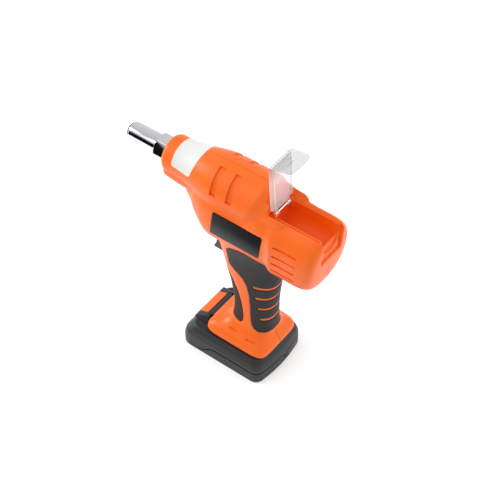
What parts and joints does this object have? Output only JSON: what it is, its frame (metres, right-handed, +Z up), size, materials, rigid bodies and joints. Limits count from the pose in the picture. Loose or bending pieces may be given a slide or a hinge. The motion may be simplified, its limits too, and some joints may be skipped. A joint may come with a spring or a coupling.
{
  "type": "battery rivet tool",
  "caption": "Cordless blind rivet tool with a pistol grip, slide-on battery pack, pulling nose and a clear-lidded tray for spent mandrels.",
  "frame": {"origin": "centre of the battery pack's flat bottom, on which the tool stands", "axes": "+Z up, -X along the rivet axis towards the nose, -Y towards the flank shown in the picture"},
  "size_m": [0.2396, 0.077, 0.2957],
  "materials": {
    "shell": "satin moulded",
    "tray": "smooth moulded",
    "grip": "matt moulded",
    "case": "fine textured",
    "button": "satin moulded",
    "trigger": "satin",
    "chrome": "polished",
    "dark_steel": "blackened",
    "steel": "ground",
    "frame": "machined",
    "clear": "clear moulded",
    "gear": "cut",
    "copper": "bright",
    "board": "solder mask",
    "cell": "shrink sleeve",
    "switch": "moulded"
  },
  "bodies": {
    "tool": {"housing_left": "shell", "housing_right": "shell", "grip_left": "grip", "grip_right": "grip", "housing_screws": "dark_steel", "nosepiece": "dark_steel", "nose_sleeve": "chrome", "locknut": "chrome", "nose_frame": "dark_steel", "gear_plate_front": "frame", "gear_plate_rear": "frame", "thrust_bearing": "dark_steel", "rear_bearing": "dark_steel", "ring_gear": "steel", "motor_can": "dark_steel", "motor_magnets": "dark_steel", "motor_cap": "switch", "guide_tube": "steel", "mandrel_tray": "tray", "lid_pin": "steel", "trigger_switch": "switch", "control_board": "board", "foot_terminal": "switch"},
    "lid": {"lid": "clear"},
    "trigger": {"trigger": "trigger", "trigger_spring": "steel"},
    "pull": {"pull_screw": "steel", "jaw_case": "dark_steel", "jaws": "steel", "jaw_pusher": "dark_steel", "jaw_spring": "steel"},
    "nut": {"nut_gear": "gear"},
    "carrier": {"planet_carrier": "dark_steel", "output_pinion": "gear"},
    "planet_1": {"planet_gear_1": "gear"},
    "planet_2": {"planet_gear_2": "gear"},
    "planet_3": {"planet_gear_3": "gear"},
    "rotor": {"motor_rotor": "copper", "sun_gear": "gear"},
    "pack": {"pack_lower": "case", "pack_upper": "case", "pack_cells": "cell", "pack_contacts": "copper", "pack_board": "board", "pack_screws": "dark_steel", "charge_jack": "switch"},
    "button": {"release_button": "button", "button_spring": "steel"}
  },
  "joints": [
    {"name": "lid_hinge", "type": "hinge", "parent": "tool", "child": "lid", "pos_m": [0.049, 0, 0.2305], "axis": [0, 1, 0], "range_deg": [0, 93]},
    {"name": "trigger_pull", "type": "slide", "parent": "tool", "child": "trigger", "axis": [1, 0, 0], "range_m": [0, 0.006], "stiffness_N_per_m": 600, "springref_m": -0.006, "deforming": ["trigger_spring"]},
    {"name": "nut_spin", "type": "hinge", "parent": "tool", "child": "nut", "pos_m": [0.01, 0, 0.2265], "axis": [1, 0, 0], "range_deg": [0, 2400]},
    {"name": "pull_stroke", "type": "slide", "parent": "tool", "child": "pull", "axis": [1, 0, 0], "range_m": [0, 0.0201]},
    {"name": "carrier_spin", "type": "hinge", "parent": "tool", "child": "carrier", "pos_m": [0.01, 0, 0.186], "axis": [1, 0, 0], "range_deg": [-3155, 0]},
    {"name": "rotor_spin", "type": "hinge", "parent": "tool", "child": "rotor", "pos_m": [0.06, 0, 0.186], "axis": [1, 0, 0], "range_deg": [-12620, 0]},
    {"name": "planet_1_spin", "type": "hinge", "parent": "carrier", "child": "planet_1", "pos_m": [0.0403, 0, 0.1956], "axis": [1, 0, 0], "range_deg": [0, 9465]},
    {"name": "planet_2_spin", "type": "hinge", "parent": "carrier", "child": "planet_2", "pos_m": [0.0403, 0.00831, 0.1812], "axis": [1, 0, 0], "range_deg": [0, 9465]},
    {"name": "planet_3_spin", "type": "hinge", "parent": "carrier", "child": "planet_3", "pos_m": [0.0403, -0.00831, 0.1812], "axis": [1, 0, 0], "range_deg": [0, 9465]},
    {"name": "pack_slide", "type": "slide", "parent": "tool", "child": "pack", "axis": [-1, 0, 0], "range_m": [0, 0.085]},
    {"name": "button_press", "type": "slide", "parent": "pack", "child": "button", "axis": [0, 0, -1], "range_m": [0, 0.0022], "stiffness_N_per_m": 1200, "springref_m": -0.002, "deforming": ["button_spring"]}
  ],
  "couplings": [
    {"joint": "pull_stroke", "follows": "nut_spin", "m_per_rad": 0.00047746},
    {"joint": "carrier_spin", "follows": "nut_spin", "ratio": -1.3143},
    {"joint": "rotor_spin", "follows": "nut_spin", "ratio": -5.2571},
    {"joint": "planet_1_spin", "follows": "nut_spin", "ratio": 3.9429},
    {"joint": "planet_2_spin", "follows": "nut_spin", "ratio": 3.9429},
    {"joint": "planet_3_spin", "follows": "nut_spin", "ratio": 3.9429}
  ]
}
